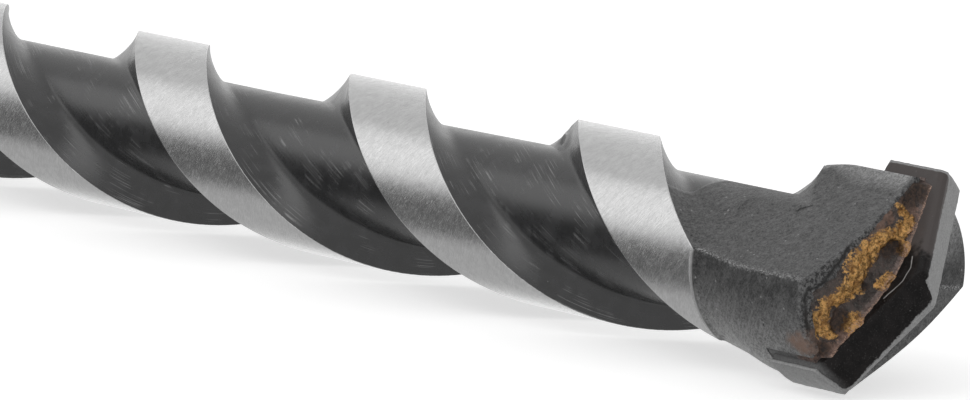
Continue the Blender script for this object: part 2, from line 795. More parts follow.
# Small cracks in the upper facet, in millimetres: start, end, width, waver
FACET_CRACKS = (
    ((151.55, -0.60, 2.89), (152.11, -0.25, 3.02), 0.11, 0.14),
    ((152.75, -1.10, 2.60), (153.25, -0.60, 2.86), 0.15, 0.24),
    ((154.96, -0.32, 2.98), (154.97, 0.11, 3.22), 0.08, 0.10),
)

# Crack in the crumbly end between the rim and the braze, in millimetres
END_CRACK = ((157.56, -2.03, 2.11), (157.56, -2.51, 1.53), (157.50, -3.00, 1.02), (157.43, -3.41, 0.51),
             (157.34, -3.76, 0.28), (157.22, -4.20, 0.15), (157.20, -4.29, -0.23), (157.18, -4.27, -0.95),
             (157.19, -4.00, -1.65), (157.22, -3.59, -2.20))


def steel_material(steel):
    """Ground bright lands, blackened flutes and a blasted grey head on one body."""
    material, g, shader, vector = new_material("hardened_steel")
    depth, head, end, copper, ridge, tone = (
        g.attribute(name) for name in ("depth", "head", "end", "copper", "ridge", "tone"))

    def lines(lead, size, stretch, detail=3.0):
        """Noise drawn out along a helix."""
        return g.group(shared_group("Helix lines", helix_lines_group), {
            "Vector": vector, "Lead mm": lead, "Size mm": size, "Stretch": stretch,
            "Detail": detail}).outputs["Value"]

    edge_noise = g.noise(vector, 0.22, 4.0, 0.7)
    ragged = g.plus(depth, g.sway(edge_noise, 0.008))
    in_flute = g.remap(ragged, 0.012, 0.028)

    grain = lines(-20.5, 0.055, 5.0)
    clouds = g.noise(vector, 0.45, 5.0, 0.65)
    pits = specks(g, vector, 0.35, 0.16, 0.10)
    ground = spread(g, clouds, 0.3, 0.7, steel.ground, 0.90, 1.04)
    ground = g.tint(grain, 0.35, 0.65, ground, scaled(steel.ground, 0.72), share=0.45)
    ground = g.mix(g.times(pits, 0.5), ground, scaled(steel.ground, 0.35))

    flute_cloud = g.noise(vector, 0.8, 4.0, 0.6)
    milling = lines(33.9, 0.045, 70.0, 2.0)
    patches = g.noise(vector, 1.6, 2.0, 0.5)
    scratch = g.times(g.remap(milling, 0.57, 0.68), g.remap(patches, 0.50, 0.62))
    dust = specks(g, vector, 0.28, 0.14, 0.05)
    scratch = g.most(g.times(scratch, 0.6), g.times(dust, 0.5))
    dark = spread(g, flute_cloud, 0.3, 0.7, steel.fluted, 0.6, 1.4)
    dark = g.mix(scratch, dark, scaled(steel.ground, 0.55))

    blast_noise = g.noise(vector, 0.075, 4.0, 0.8)
    mottle = g.noise(vector, 0.55, 4.0, 0.6)
    streaks = lines(-20.5, 0.16, 4.0)
    blasted = spread(g, blast_noise, 0.35, 0.65, steel.blasted, 0.45, 1.35)
    blasted = g.tint(mottle, 0.45, 0.75, blasted, scaled(steel.blasted, 0.5), share=0.5)
    relief = g.noise(vector, 0.19, 5.0, 0.75)
    blasted = g.tint(relief, 0.50, 0.64, blasted, scaled(steel.blasted, 1.6), share=0.5)
    blasted = g.tint(relief, 0.46, 0.36, blasted, scaled(steel.blasted, 0.4), share=0.6)
    blasted = g.tint(streaks, 0.50, 0.66, blasted, scaled(steel.blasted, 1.5), share=0.5)
    glints = specks(g, vector, 0.30, 0.24, 0.14)
    chips = g.times(ridge, g.remap(blast_noise, 0.50, 0.64))
    bright = g.most(g.times(glints, 0.7), chips)
    blasted = g.vectors('SCALE', blasted, tone)[0]
    blasted = g.mix(bright, blasted, CHIPPED_STEEL)
    cracks = strokes(g, vector, FACET_CRACKS)
    pocks = specks(g, vector, 0.26, 0.34, 0.20)
    blasted = g.mix(g.times(pocks, 0.75), blasted, POCK)
    blasted = g.mix(cracks, blasted, FACET_CRACK)

    shade = g.mix(in_flute, ground, dark)
    darker = g.minus(DRILLBIT_OT_steel_body.upper_tone, tone, clamp=True)
    under_ridge = g.times(darker, g.remap(mottle, 0.40, 0.60))
    blasted = g.mix(g.times(under_ridge, 2.0, clamp=True), blasted, UNDER_RIDGE)
    shade = g.mix(head, shade, blasted)
    grime = g.noise(vector, 0.16, 5.0, 0.8)
    end_edge = g.plus(end, g.sway(grime, 0.35, 0.35, 0.65))
    crumbly = g.remap(end_edge, 0.45, 0.65)
    crumbs = g.tint(grime, 0.42, 0.58, CRUMB_HOLLOW, CRUMB)
    crumbs = g.tint(blast_noise, 0.56, 0.66, crumbs, CRUMB_GLINT, share=0.6)
    shade = g.mix(crumbly, shade, crumbs)
    end_crack = strokes(g, vector, chain(END_CRACK, width=0.15, waver=0.12))
    shade = g.mix(end_crack, shade, END_GAP)
    brown = g.plus(copper, g.sway(mottle, 0.3))
    shade = g.tint(brown, 0.35, 1.0, shade, COPPER_TINT, share=0.85)

    metal = g.mixf(in_flute, 1.0, g.times(scratch, 0.8))
    metal = g.mixf(head, metal, 0.85)
    metal = g.mixf(crumbly, metal, 0.3)
    smooth_ground = g.remap(clouds, 0.2, 0.8, 0.14, 0.22, smooth=False)
    smooth_flute = g.remap(flute_cloud, 0.2, 0.8, 0.20, 0.34, smooth=False)
    roughness = g.mixf(in_flute, smooth_ground, smooth_flute)
    roughness = g.mixf(head, roughness, 0.50)
    roughness = g.mixf(crumbly, roughness, 0.6)

    plain = g.mixf(in_flute, g.times(grain, 2.2), milling)
    cover = g.most(head, crumbly)
    rugged = g.plus(g.times(blast_noise, 12.0), g.times(streaks, 12.0))
    height = g.mixf(cover, plain, g.plus(rugged, g.times(mottle, 40.0)))
    dents = g.times(g.most(cracks, pocks), cover)
    height = g.minus(height, g.times(dents, 6.0))
    height = g.minus(height, g.times(crumbly, g.times(grime, 12.0)))
    g.feed(shader, {"Base Color": shade, "Metallic": metal, "Roughness": roughness, "IOR": 1.75,
                    "Normal": g.bump(height, 0.5, 0.010 * MM)})
    return material


# Scratch on the plate's near face, in millimetres: station, place along the plate
PLATE_SCRATCH = ((158.93, 1.09), (159.20, 0.60), (159.20, -0.10), (158.72, -1.03))


def carbide_material(plate):
    """Grey carbide, stained dark where flux ran over it and clean along the edges."""
    material, g, shader, vector = new_material("tungsten_carbide")
    stain, grey, brown = (g.attribute(name) for name in ("stain", "grey", "brown"))
    grains = g.noise(vector, 0.08, 5.0, 0.8)
    patches = g.noise(vector, 0.6, 4.0, 0.6)
    clean = spread(g, grains, 0.3, 0.7, plate.carbide, 0.7, 1.25)
    dark = spread(g, patches, 0.35, 0.65, plate.stained, 0.8, 2.2)
    rust = g.plus(brown, g.sway(patches, 0.25))
    dark = g.tint(grains, 0.55, 0.66, dark, STAIN_GRAIN, share=0.5)
    dark = g.tint(rust, 0.35, 0.8, dark, BROWN_STAIN)
    crumb = g.noise(vector, 0.22, 5.0, 0.75)
    edge = g.plus(stain, g.sway(crumb, 0.12))
    mask = g.remap(edge, 0.42, 0.58)
    shade = g.mix(mask, clean, dark)
    shade = g.mix(grey, shade, g.tint(grains, 0.3, 0.7, GREY_DARK, PLATE_GREY))
    face = plate.thickness / 2
    points = [plate_point(plate, x * MM, u * MM, face) / MM for x, u in PLATE_SCRATCH]
    scratch = strokes(g, vector, chain(points, width=0.05, waver=0.04))
    glints = specks(g, vector, 0.22, 0.20, 0.12)
    light = g.most(scratch, g.times(glints, 0.30))
    grainy = g.remap(grains, 0.2, 0.8, 0.40, 0.55, smooth=False)
    g.feed(shader, {"Base Color": g.mix(light, shade, PLATE_GLINT), "Metallic": g.mixf(mask, 0.8, 0.0),
                    "Roughness": g.mixf(mask, grainy, 0.36), "Specular IOR Level": 0.18,
                    "Normal": g.bump(grains, 0.5, 0.02 * MM)})
    return material


def braze_material(braze):
    """Brass-coloured runs on a dark flux-stained film, with a copper seam beside the plate."""
    material, g, shader, vector = new_material("braze_brass")
    lumps = g.noise(vector, 0.16, 5.0, 0.75)
    broad = g.noise(vector, 0.55, 5.0, 0.7, 0.4)
    speckle = g.noise(vector, 0.05, 3.0, 0.7)

    def worn(name, reach, low=0.40, high=0.58):
        """Stored mask with a ragged border."""
        rough_border = g.sway(lumps, reach)
        return g.remap(g.plus(g.attribute(name), rough_border), low, high)

    film = spread(g, broad, 0.38, 0.62, braze.stain, 0.6, 2.2)
    film = g.tint(lumps, 0.46, 0.62, film, FILM_LUMP, share=0.7)
    film = g.tint(speckle, 0.56, 0.70, film, FILM_GLINT, share=0.5)
    seam = worn("seam", 0.20, 0.45, 0.75)
    purple = g.tint(lumps, 0.35, 0.65, SEAM_DARK, SEAM_LIGHT)
    film = g.mix(seam, film, purple)
    copper = worn("copper", 0.35)
    red = spread(g, lumps, 0.3, 0.7, braze.copper, 0.35, 1.1)
    film = g.mix(g.times(copper, 0.5), film, red)
    gold = worn("gold", 0.30)
    clean = spread(g, lumps, 0.38, 0.62, braze.gold, 0.30, 1.40)
    clean = g.tint(broad, 0.48, 0.64, clean, TARNISH, share=0.75)
    clean = g.tint(speckle, 0.60, 0.70, clean, BRASS_GLINT, share=0.7)
    shade = g.mix(gold, film, clean)
    pocket = worn("pocket", 0.25)
    hollow = g.tint(lumps, 0.35, 0.65, POCKET_DARK, POCKET_LIGHT)
    shade = g.mix(g.times(pocket, 0.9), shade, hollow)
    rim = g.times(g.attribute("line"), g.remap(speckle, 0.45, 0.60))
    shade = g.mix(rim, shade, SEAM_LINE)
    steel_grey = g.tint(lumps, 0.3, 0.7, GREY_DARK, BRAZE_GREY)
    shade = g.mix(g.attribute("grey"), shade, steel_grey)
    film_rough = g.remap(broad, 0.3, 0.7, 0.36, 0.55)
    gold_rough = g.remap(lumps, 0.2, 0.8, 0.30, 0.50)
    height = g.plus(lumps, g.times(speckle, 0.35))
    g.feed(shader, {"Base Color": shade, "Metallic": g.mixf(gold, 0.25, 0.92),
                    "Roughness": g.mixf(gold, film_rough, gold_rough),
                    "Normal": g.bump(height, 0.8, 0.08 * MM)})
    return material


def store(mesh, name, values):
    """Store a number for each vertex."""
    attribute = mesh.attributes.new(name, 'FLOAT', 'POINT')
    attribute.data.foreach_set("value", np.asarray(values, dtype=np.float32))


class DRILLBIT_OT_steel_body(bpy.types.Operator):
    """Build the shank, the fluted body and the head as one piece"""
    bl_idname = "drill_bit.steel_body"
    bl_label = "Steel body"

    # Rings around the head's rim and over its end
    rim_edge = 0.05 * MM
    rise_parts = (0.3, 0.6, 0.9, 1.0)
    inset_parts = (0.5, 1.0, 2.5, 5.0, 8.0)
    bevel_part = 0.6
    cone_rings = 24
    last_ring = 0.96

    # Burr on the heel of the land next to the head
    burr_station = 134.6 * MM
    burr_length = 1.1 * MM
    burr_height = 0.20 * MM
    burr_rough = 0.28 * MM
    burr_lump = 0.35 * MM

    # Crumbly half of the end
    crumble_depth = 0.06 * MM
    crumble_reach = 0.12 * MM
    crumble_lump = 0.3 * MM

    # Fades from one finish to the next; the coated depth and its fade are in millimetres
    facet_fade = 0.2 * MM
    lands_fade = 0.1 * MM
    half_fade = 0.5 * MM
    end_fade = 0.45 * MM
    ridge_width = 0.10 * MM
    ridge_fade = math.radians(2.0)
    coated_depth = 0.02
    coated_fade = 0.03

    # Brightness of the facet above the ridge, and of the lower one from the ridge down
    upper_tone = 0.82
    lower_tones = (0.58, 2.0)
    lower_tones_start = math.radians(6.0)
    lower_tones_run = math.radians(50.0)

    # Copper tint at the rim, near the plate's lower end
    tint_radius = 4.5 * MM
    tint_setback = 0.4 * MM
    tint_along = -4.1 * MM
    tint_across = 1.7 * MM
    tint_reach = 1.3 * MM
    tint_stretch = 1.3

    def execute(self, context):
        steel = context.scene.drill_bit_steel
        plate = context.scene.drill_bit_plate
        form = SteelForm(steel, plate)
        rim = form.cone_x(form.head_mean + form.head_swing)
        taper_end = steel.shank_length + steel.shank_taper
        path = stations((steel.shank_chamfer, steel.shank_chamfer), (steel.shank_length, 0.006),
                        (taper_end, 0.0005), (form.flute_start, 0.003), (0.088, 0.0008),
                        (form.facet_start - MM, 0.00035), (form.head_start, 0.0002),
                        (form.head_start + form.head_step_length, 0.00005), (rim, 0.00018))
        rings = [form.ring(*self.half_ring(form, x), x) for x in path]
        last = path[-1]
        turns, radii = self.half_ring(form, last)
        rise = form.cone_x(radii) - last
        edge = self.rim_edge
        for part in self.rise_parts:
            places = last + np.maximum(rise - edge, 0.0) * part
            rings.append(form.ring(turns, radii, places))
        for part in self.inset_parts:
            inner = radii - edge * part
            drop = edge * max(0.0, self.bevel_part - self.bevel_part * part)
            rings.append(form.ring(turns, inner, form.cone_x(inner) - drop))
        for part in np.linspace(0.0, self.last_ring, self.cone_rings)[1:]:
            inner = (radii - edge * self.inset_parts[-1]) * (1.0 - part)
            rings.append(form.ring(turns, inner, form.cone_x(inner)))
        bm = tube(rings)
        bm = remove_volume(bm, drive_slots(steel))
        bm = remove_volume(bm, lock_recesses(steel))
        bm = remove_volume(bm, plate_slot(steel, plate))
        self.crumble(bm, plate, last)
        piece = finish_piece("steel_body_finished", bm, steel_material(steel),
                             ["steel_body"])
        self.mark(form, plate, piece.data)
        return {'FINISHED'}

    def half_ring(self, form, x):
        """Angles and radii of the half ring."""
        turns = form.turns(x)
        return turns, form.radius(x, turns) + self.burr(form, x, turns)

    def burr(self, form, x, turns):
        """Ragged metal left on the heel of the land next to the head, at its top."""
        near = math.exp(-((x - self.burr_station) / self.burr_length) ** 2)
        if near < 0.02:
            return 0.0
        heel = form.heel_edge(x)
        added = np.zeros(len(turns))
        for i, turn in enumerate(turns):
            if heel < turn < heel + form.heel_fillet:
                part = (turn - heel) / form.heel_fillet
                place = Vector((x, turn * form.land_radius, 0.0))
                height = self.burr_height + self.burr_rough * rough(place, self.burr_lump)
                added[i] = near * 4 * part * (1.0 - part) * height
        return added

    def crumble(self, bm, plate, rim):
        """Roughen the near half of the head's end, which flux and heat have left crumbly."""
        for vert in bm.verts:
            v = vert.co.dot(across_plate(plate))
            if v > plate.thickness / 2 and vert.co.x > rim:
                near_rim = ease((vert.co.x - rim) / self.crumble_reach)
                vert.co.x -= self.crumble_depth * near_rim * abs(rough(vert.co, self.crumble_lump))

    def mark(self, form, plate, mesh):
        """Store each vertex's depth below the lands, its part of the bit and how bright the head is there."""
        x, y, z = coordinates(mesh)
        radius = np.hypot(y, z)
        turn = np.arctan2(z, y)
        outer = np.array([form.outer(a, b) for a, b in zip(x, turn)])
        depth = (outer - radius) / MM
        depth[x < form.shank_length + form.taper] = 0.0
        below = ease((depth - self.coated_depth) / self.coated_fade)
        past_start = ease((x - form.facet_start) / self.facet_fade) * below
        past_lands = ease((x - form.head_start + self.lands_fade / 2) / self.lands_fade)
        across = across_plate(plate)
        near_half = ease((y * across.y + z * across.z) / self.half_fade)
        end = 1.0 + (x - form.cone_x(radius)) / self.end_fade
        tint = plate_point(plate, form.cone_x(self.tint_radius) - self.tint_setback, self.tint_along,
                           self.tint_across)
        away = np.sqrt(((x - tint.x) / self.tint_stretch) ** 2 + (y - tint.y) ** 2 + (z - tint.z) ** 2)
        ridge_turn = np.array([form.lead_edge(a) if a > form.head_start else 0.0 for a in x])
        half_span = ridge_turn - form.facet_middle
        past_ridge = (turn - ridge_turn + 2 * half_span) % HALF_TURN - 2 * half_span
        lower = ease(past_ridge / self.ridge_fade) * (x > form.head_start)
        lower_tone = blend(*self.lower_tones,
                           ease((past_ridge - self.lower_tones_start) / self.lower_tones_run))
        store(mesh, "ridge", np.exp(-(past_ridge * radius / self.ridge_width) ** 2) * (x > form.head_start))
        store(mesh, "tone", blend(self.upper_tone, lower_tone, lower))
        store(mesh, "depth", depth)
        store(mesh, "head", np.maximum(past_start, past_lands))
        store(mesh, "end", np.clip(end, 0.0, 1.0) * near_half)
        store(mesh, "copper", 1.0 - ease(away / self.tint_reach))


class DRILLBIT_OT_carbide_plate(bpy.types.Operator):
    """Build the carbide plate with its roof and worn cutting edges"""
    bl_idname = "drill_bit.carbide_plate"
    bl_label = "Carbide plate"

    end_steps = 8
    facet_size = 0.16 * MM
    refinements = 5
    face_rough = 0.02 * MM
    face_lump = 0.4 * MM
    broken_edge = 0.05 * MM
    crisp_angle = math.radians(12.0)

    # Stain's border on the near face, in millimetres: places across the plate and along it
    border_low = (-0.62, -0.40)
    border_high = 0.42
    border_start, border_run = -4.5, 4.0
    step_start, step_run = -0.25, 0.5
    border_fade = 0.5
    clean_end, clean_fade = 4.95, 0.12
    brown_start, brown_run = 0.2, 2.0

    # Blasted corner at the lower end, in millimetres: places along the plate, then stations
    grey_end, grey_fade = 4.25, 0.4
    grey_lean, grey_pivot = 0.35, 156.5
    grey_top, grey_top_fade = 158.4, 1.0

    def execute(self, context):
        steel = context.scene.drill_bit_steel
        plate = context.scene.drill_bit_plate
        bm = bmesh.new()
        radius = plate.diameter / 2
        half_angle = math.asin(plate.thickness / 2 / radius)
        outline = []
        for turn in (0.0, HALF_TURN):
            for i in range(self.end_steps + 1):
                at = turn - half_angle + 2 * half_angle * i / self.end_steps
                outline.append((radius * math.cos(at) + plate.shift, radius * math.sin(at)))
        rear = steel.overall_length - plate.height
        prism(bm, [plate_point(plate, rear, u, v) for u, v in outline],
              Vector((plate.height + 2 * MM, 0.0, 0.0)))
        apex = plate_point(plate, steel.overall_length, plate.shift, 0.0)
        for side in (1.0, -1.0):
            normal = Vector((1.0, 0.0, 0.0))
            normal += along_plate(plate) * side / math.tan(plate.half_point)
            normal -= across_plate(plate) * side * math.tan(plate.relief)
            trim(bm, apex, normal.normalized())
        bmesh.ops.recalc_face_normals(bm, faces=bm.faces)
        self.wear(bm, plate)
        bmesh.ops.triangulate(bm, faces=[face for face in bm.faces if len(face.verts) > 4])
        for _ in range(self.refinements):
            long = [edge for edge in bm.edges if edge.calc_length() > self.facet_size]
            bmesh.ops.subdivide_edges(bm, edges=long, cuts=1, use_grid_fill=True)
            bmesh.ops.triangulate(bm, faces=[face for face in bm.faces if len(face.verts) > 4])
        for vert in bm.verts:
            vert.co += vert.normal * self.face_rough * rough(vert.co, self.face_lump)
        piece = finish_piece("carbide_tip_finished", bm, carbide_material(plate),
                             ["carbide_tip"])
        self.mark(steel, plate, piece.data)
        return {'FINISHED'}

    def wear(self, bm, plate):
        """Blunt the two cutting edges, then break every other edge."""
        along = along_plate(plate)
        across = across_plate(plate)
        cutting = []
        for edge in bm.edges:
            middle = (edge.verts[0].co + edge.verts[1].co) / 2
            leading = (middle.dot(along) - plate.shift) * middle.dot(across) > 0.0
            flatness = max(abs(face.normal.dot(across)) for face in edge.link_faces)
            rise = max(face.normal.x for face in edge.link_faces)
            if leading and flatness > math.cos(plate.relief / 2) and rise > math.cos(plate.half_point):
                cutting.append(edge)
        bmesh.ops.bevel(bm, geom=cutting, offset=plate.edge_wear, offset_type='OFFSET', affect='EDGES',
                        segments=2, profile=0.5, material=-1)
        bm.normal_update()
        crisp = [edge for edge in bm.edges if len(edge.link_faces) == 2
                 and edge.calc_face_angle(0.0) > self.crisp_angle]
        bmesh.ops.bevel(bm, geom=crisp, offset=self.broken_edge, offset_type='OFFSET', affect='EDGES',
                        segments=2, profile=0.5, material=-1, clamp_overlap=True)

    def mark(self, steel, plate, mesh):
        """Store where flux has stained the plate, where it is brown, and where the blasting reached it."""
        along = along_plate(plate)
        across = across_plate(plate)
        x, y, z = (values / MM for values in coordinates(mesh))
        u = y * along.y + z * along.z - plate.shift / MM
        v = y * across.y + z * across.z
        low_border = blend(*self.border_low, (u - self.border_start) / self.border_run)
        border = blend(low_border, self.border_high, ease((u - self.step_start) / self.step_run))
        stained = 0.5 + (v - border) / self.border_fade
        unclean = 1.0 - ease((np.abs(u) - self.clean_end) / self.clean_fade)
        leaning = self.grey_lean * (x - self.grey_pivot)
        lower_end = ease((-u - self.grey_end - leaning) / self.grey_fade)
        below_top = ease((self.grey_top - x) / self.grey_top_fade)
        store(mesh, "stain", np.clip(stained, 0.0, 1.0) * unclean)
        store(mesh, "grey", lower_end * below_top * unclean)
        store(mesh, "brown", ease((u - self.brown_start) / self.brown_run))


class DRILLBIT_OT_braze(bpy.types.Operator):
    """Build the braze: filler beside the plate and the lumpy film on the near half of the head's end"""
    bl_idname = "drill_bit.braze"
    bl_label = "Braze"

    # Places on the head's end in millimetres: along the plate, across it, then the half width there
    gold_runs = (
        ((2.79, 1.72, 0.17), (2.59, 1.13, 0.21), (1.75, 1.37, 0.30), (1.18, 1.88, 0.30), (0.39, 2.14, 0.38),
         (-0.44, 2.23, 0.48), (-1.27, 1.95, 0.44), (-2.11, 2.13, 0.28), (-2.60, 2.45, 0.24)),
        ((-2.60, 2.45, 0.24), (-3.06, 2.20, 0.34), (-3.40, 1.84, 0.38), (-3.38, 1.35, 0.22)),
        ((-2.70, 1.02, 0.26), (-2.35, 1.00, 0.30)),
        ((-0.63, 1.08, 0.16), (-0.05, 0.95, 0.18)),
        ((1.50, 1.00, 0.18), (1.12, 0.95, 0.18)),
    )
    pocket_spots = ((1.15, 1.24, 0.32), (0.75, 1.42, 0.24), (-2.58, 1.52, 0.34), (-2.94, 1.46, 0.32),
                    (-4.06, 1.22, 0.28), (-0.96, 1.50, 0.20), (3.94, 1.33, 0.55), (3.30, 1.49, 0.36))
    copper_spots = ((-4.12, 1.80, 0.40), (-3.78, 2.20, 0.36), (-4.30, 1.34, 0.36), (-3.80, 0.95, 0.30),
                    (-3.14, 0.95, 0.26), (0.80, 2.39, 0.26), (1.53, 2.11, 0.26), (2.10, 2.05, 0.32),
                    (2.90, 1.30, 0.40))
    film_border = ((-4.54, 0.60), (-4.24, 1.22), (-3.85, 1.82), (-3.30, 2.52), (-2.94, 3.02), (-2.50, 3.26),
                   (-1.36, 2.91), (-0.84, 2.96), (-0.08, 2.98), (0.38, 2.77), (1.15, 2.54), (1.85, 2.41),
                   (2.91, 2.06), (4.07, 1.80), (4.60, 0.95))

    # In millimetres too: how far the border is drawn in, the film's half length and the runs' wander
    border_setback = 0.16
    film_half = 4.58
    wander = 0.16

    # The film's grid and border
    columns, rows = 150, 60
    overlap = 0.02 * MM
    narrowest = 0.05 * MM
    from_rim = 0.04 * MM
    border_rough = 0.10 * MM
    border_lump = 0.4 * MM
    side_fade = 0.16 * MM
    end_fade = 0.3 * MM
    border_drop = 0.05 * MM
    film_sunk = 0.35 * MM

    # Heights on the film
    wander_lump = 0.5 * MM
    climb_length = 0.25 * MM
    film_share = 0.45
    run_height = 0.13 * MM
    run_lumps = 0.9
    run_lump = 0.40 * MM
    fine_height = 0.05 * MM
    fine_lump = 0.22 * MM
    pocket_depth = 0.10 * MM
    least_height = 0.02 * MM

    # The filler's clearances: to the plate, to the slot's side and to the head's form
    plate_gap = 0.05 * MM
    side_gap = 0.01 * MM
    form_gap = 0.03 * MM
    filler_rings = 30
    foot_rings = 4

    def execute(self, context):
        steel = context.scene.drill_bit_steel
        plate = context.scene.drill_bit_plate
        braze = context.scene.drill_bit_braze
        form = SteelForm(steel, plate)
        bm = bmesh.new()
        self.film(bm, form, plate, braze)
        inner = plate.thickness / 2 - self.plate_gap
        outer = plate.thickness / 2 + plate.joint - self.side_gap
        rear = steel.overall_length - plate.height - plate.joint
        rim = form.cone_x(form.head_mean + form.head_swing)
        sides = np.linspace(rear, rim, self.filler_rings)
        foot = np.linspace(rear, rear + plate.joint + self.form_gap, self.foot_rings)
        self.filler(bm, form, plate, sides, (inner, outer), capped=True)
        self.filler(bm, form, plate, sides, (-outer, -inner), capped=True)
        self.filler(bm, form, plate, foot, (-inner, inner), capped=False)
        bmesh.ops.recalc_face_normals(bm, faces=bm.faces)
        piece = finish_piece("braze_finished", bm, braze_material(braze), ["braze"],
                             sharp=80.0)
        self.mark(form, plate, piece.data)
        return {'FINISHED'}

    def filler(self, bm, form, plate, places, limits, capped):
        """Slab between two limits across the plate, just inside the head's form."""
        inset = self.form_gap
        rings = []
        for x in places:
            turns = form.turns(x)
            radii = form.radius(x, turns) - inset
            rings.append(form.ring(turns, radii, x))
        turns = form.turns(places[-1])
        for part in (0.0, 0.5, 0.9) if capped else ():
            radii = (form.radius(places[-1], turns) - inset) * (1.0 - part)
            rings.append(form.ring(turns, radii, form.cone_x(radii) - inset))
        slab = tube(rings)
        across = across_plate(plate)
        trim(slab, across * limits[1], across)
        trim(slab, across * limits[0], -across)
        mesh = to_mesh("slab", slab)
        bm.from_mesh(mesh)
        bpy.data.meshes.remove(mesh)

    def reach(self, form, u):
        """How far across the plate the head's end reaches at a place along it."""
        low, high = 0.0, 5.0 * MM
        station = form.apex - 1.6 * MM
        first = form.turns(station)[0]
        for _ in range(24):
            v = (low + high) / 2
            turn = (math.atan2(v, u) + form.plate_angle - first) % HALF_TURN + first
            inside = math.hypot(u, v) < form.radius(station, np.array([turn]))[0]
            low, high = (v, high) if inside else (low, v)
        return low

    def runs_mask(self, u, v):
        """Share that is over 0.5 inside the golden runs."""
        best = 0.0
        for run in self.gold_runs:
            for (u1, v1, w1), (u2, v2, w2) in zip(run, run[1:]):
                size = (u2 - u1) ** 2 + (v2 - v1) ** 2
                t = min(max(((u - u1) * (u2 - u1) + (v - v1) * (v2 - v1)) / size, 0.0), 1.0)
                away = math.hypot(u - u1 - t * (u2 - u1), v - v1 - t * (v2 - v1))
                best = max(best, 1.0 - 0.5 * away / (w1 + t * (w2 - w1)))
        return best

    def spots_mask(self, spots, u, v):
        """Share that is over 0.5 inside the spots."""
        return max([0.0] + [1.0 - 0.5 * math.hypot(u - a, v - b) / r for a, b, r in spots])

    def film(self, bm, form, plate, braze):
        """Film on the near half of the end: a grid from the plate's face to the film's border."""
        made = bmesh.ops.create_grid(bm, x_segments=self.columns, y_segments=self.rows, size=1.0)["verts"]
        near = plate.thickness / 2 - self.overlap
        border_u = [point[0] for point in self.film_border]
        border_v = [point[1] for point in self.film_border]
        borders = {}
        for vert in made:
            u = vert.co.x * self.film_half * MM + plate.shift
            key = round(vert.co.x, 5)
            if key not in borders:
                ragged = self.border_rough * rough(Vector((u, 0.0, 0.05)), self.border_lump)
                drawn = (np.interp(u / MM, border_u, border_v) - self.border_setback) * MM + ragged
                on_end = min(drawn, self.reach(form, u) - self.from_rim)
                borders[key] = max(on_end, near + self.narrowest)
            outer = borders[key]
            v = near + (outer - near) * (vert.co.y + 1.0) / 2
            place = plate_point(plate, 0.0, u, v)
            elsewhere = place + Vector((0.1, 0.0, 0.0))
            mu = u / MM + self.wander * rough(place, self.wander_lump)
            mv = v / MM + self.wander * rough(elsewhere, self.wander_lump)
            gold = ease((self.runs_mask(mu, mv) - 0.35) / 0.4)
            pocket = ease((self.spots_mask(self.pocket_spots, mu, mv) - 0.4) / 0.4)
            climb = braze.fillet * math.exp(-(v - near) / self.climb_length)
            run = self.run_height + braze.lumps * self.run_lumps * rough(place, self.run_lump, 4)
            fine = self.fine_height * rough(place, self.fine_lump)
            height = braze.film * self.film_share + gold * run
            height += fine - self.pocket_depth * pocket
            height = max(height, self.least_height)
            past_end = self.film_half * MM - abs(u - plate.shift)
            rim = ease((outer - v) / self.side_fade) * ease(past_end / self.end_fade)
            lift = (climb + height) * rim - self.border_drop * (1.0 - rim)
            vert.co = place + Vector((form.cone_x(math.hypot(u, v)) + lift, 0.0, 0.0))
        top = set(made)
        faces = [face for face in bm.faces if all(vert in top for vert in face.verts)]
        grown = bmesh.ops.extrude_face_region(bm, geom=faces)["geom"]
        bmesh.ops.translate(bm, verts=verts_of(grown), vec=Vector((-self.film_sunk, 0.0, 0.0)))

    def mark(self, form, plate, mesh):
        """Store where the braze is golden, copper red, pocketed, beside the plate, or grey like steel."""
        along = along_plate(plate)
        across = across_plate(plate)
        values = {"gold": [], "copper": [], "pocket": [], "seam": [], "line": [], "grey": []}
        for vert in mesh.vertices:
            u, v = vert.co.dot(along) / MM, vert.co.dot(across) / MM
            rise = (vert.co.x - form.cone_x(math.hypot(u, v) * MM)) / MM
            values["gold"].append(self.runs_mask(u, v) if v > 0.0 else 0.0)
            values["copper"].append(self.spots_mask(self.copper_spots, u, v))
            values["pocket"].append(self.spots_mask(self.pocket_spots, u, v))
            values["seam"].append(1.0 - ease((v - 0.85) / 0.35))
            values["line"].append(ease((rise - 0.40) / 0.08))
            values["grey"].append(max(float(v < 0.0), float(ease((-rise - 0.9) / 0.4))))
        for name, numbers in values.items():
            store(mesh, name, numbers)


